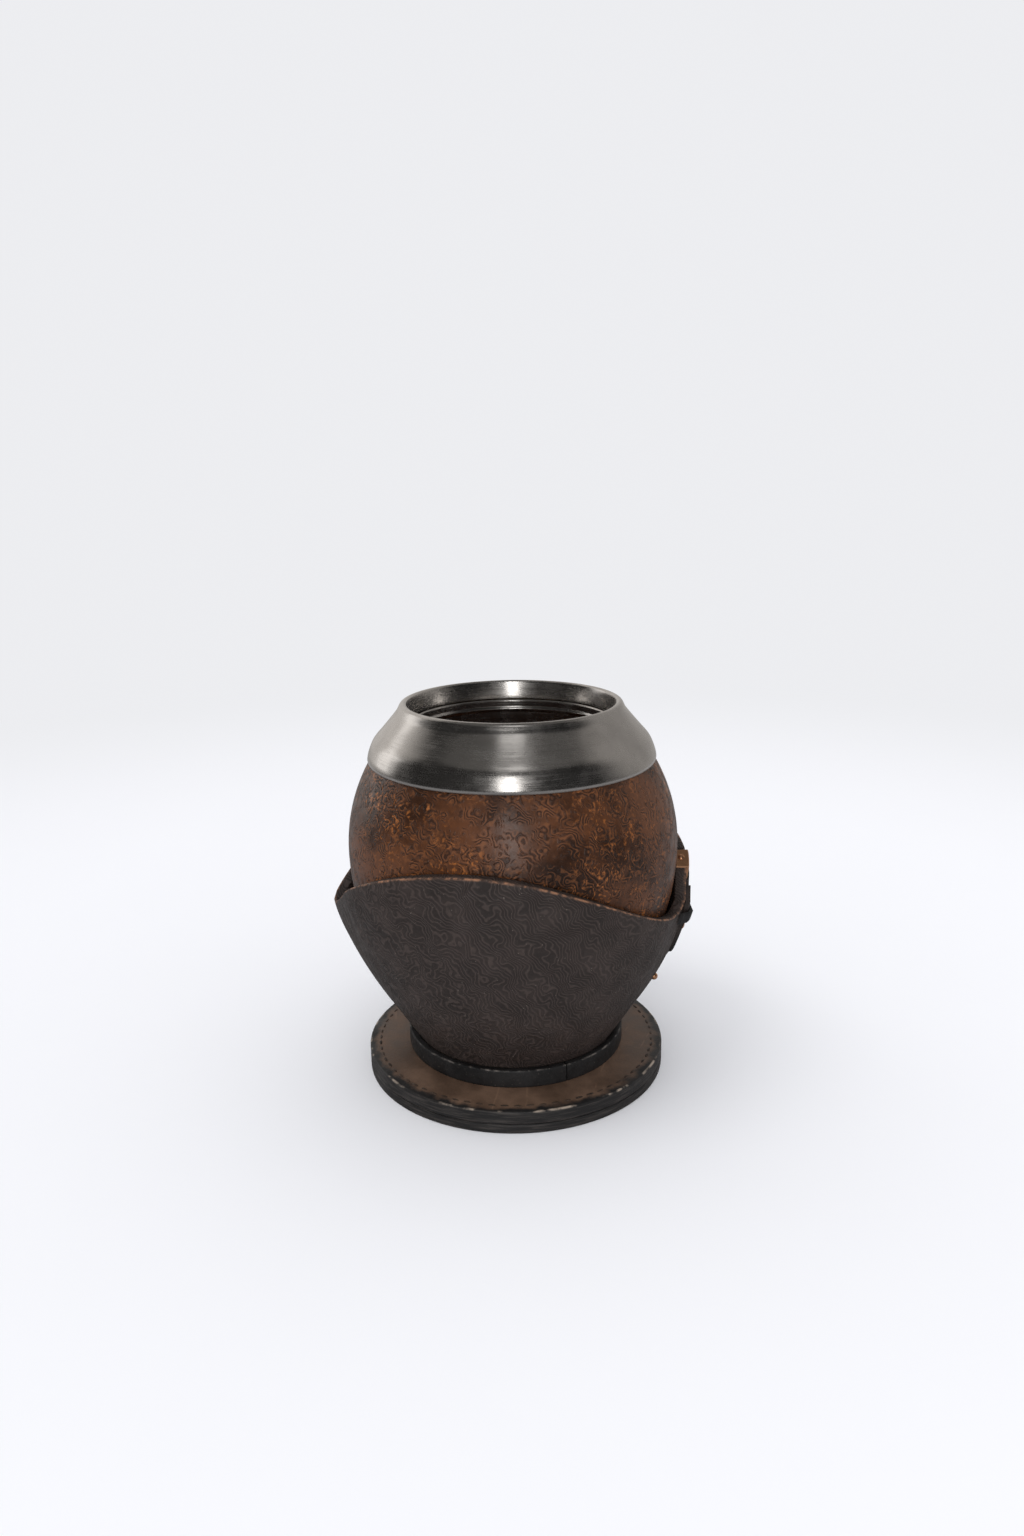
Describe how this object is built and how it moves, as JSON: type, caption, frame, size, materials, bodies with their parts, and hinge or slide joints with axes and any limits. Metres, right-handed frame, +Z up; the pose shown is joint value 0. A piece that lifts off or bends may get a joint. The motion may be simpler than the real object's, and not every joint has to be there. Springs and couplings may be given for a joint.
{
  "type": "mate cup",
  "caption": "Mate cup: a round dark gourd with a spun steel collar, seated in a stitched dark leather holder on a flat round base.",
  "frame": {"origin": "middle of the leather base's underside, on the table", "axes": "+Z up through the gourd's mouth; -Y towards the front of the leather wall, +X towards the laced seam"},
  "size_m": [0.1097, 0.1034, 0.1111],
  "materials": {
    "dark_leather": "satin",
    "black_leather": "satin",
    "brown_leather": "satin",
    "gourd_skin": "polished",
    "steel": "polished",
    "copper": "satin",
    "resin": "matte"
  },
  "bodies": {
    "holder": {"outsole_disc": "black_leather", "base_disc": "brown_leather", "foot_band": "black_leather", "insole_disc": "brown_leather", "front_panel": "dark_leather", "back_panel": "dark_leather", "seam_tongue": "dark_leather", "tongue_keeper": "black_leather", "tongue_rivet": "copper", "closing_lace": "black_leather", "seam_tack": "copper", "edge_clip": "copper", "clip_pin": "copper"},
    "mate": {"gourd_shell": "gourd_skin", "collar": "steel", "collar_resin": "resin", "mouth_sleeve": "steel"}
  },
  "joints": [
    {"name": "gourd_lift", "type": "slide", "parent": "holder", "child": "mate", "axis": [0, 0, 1], "range_m": [0, 0.1]}
  ]
}
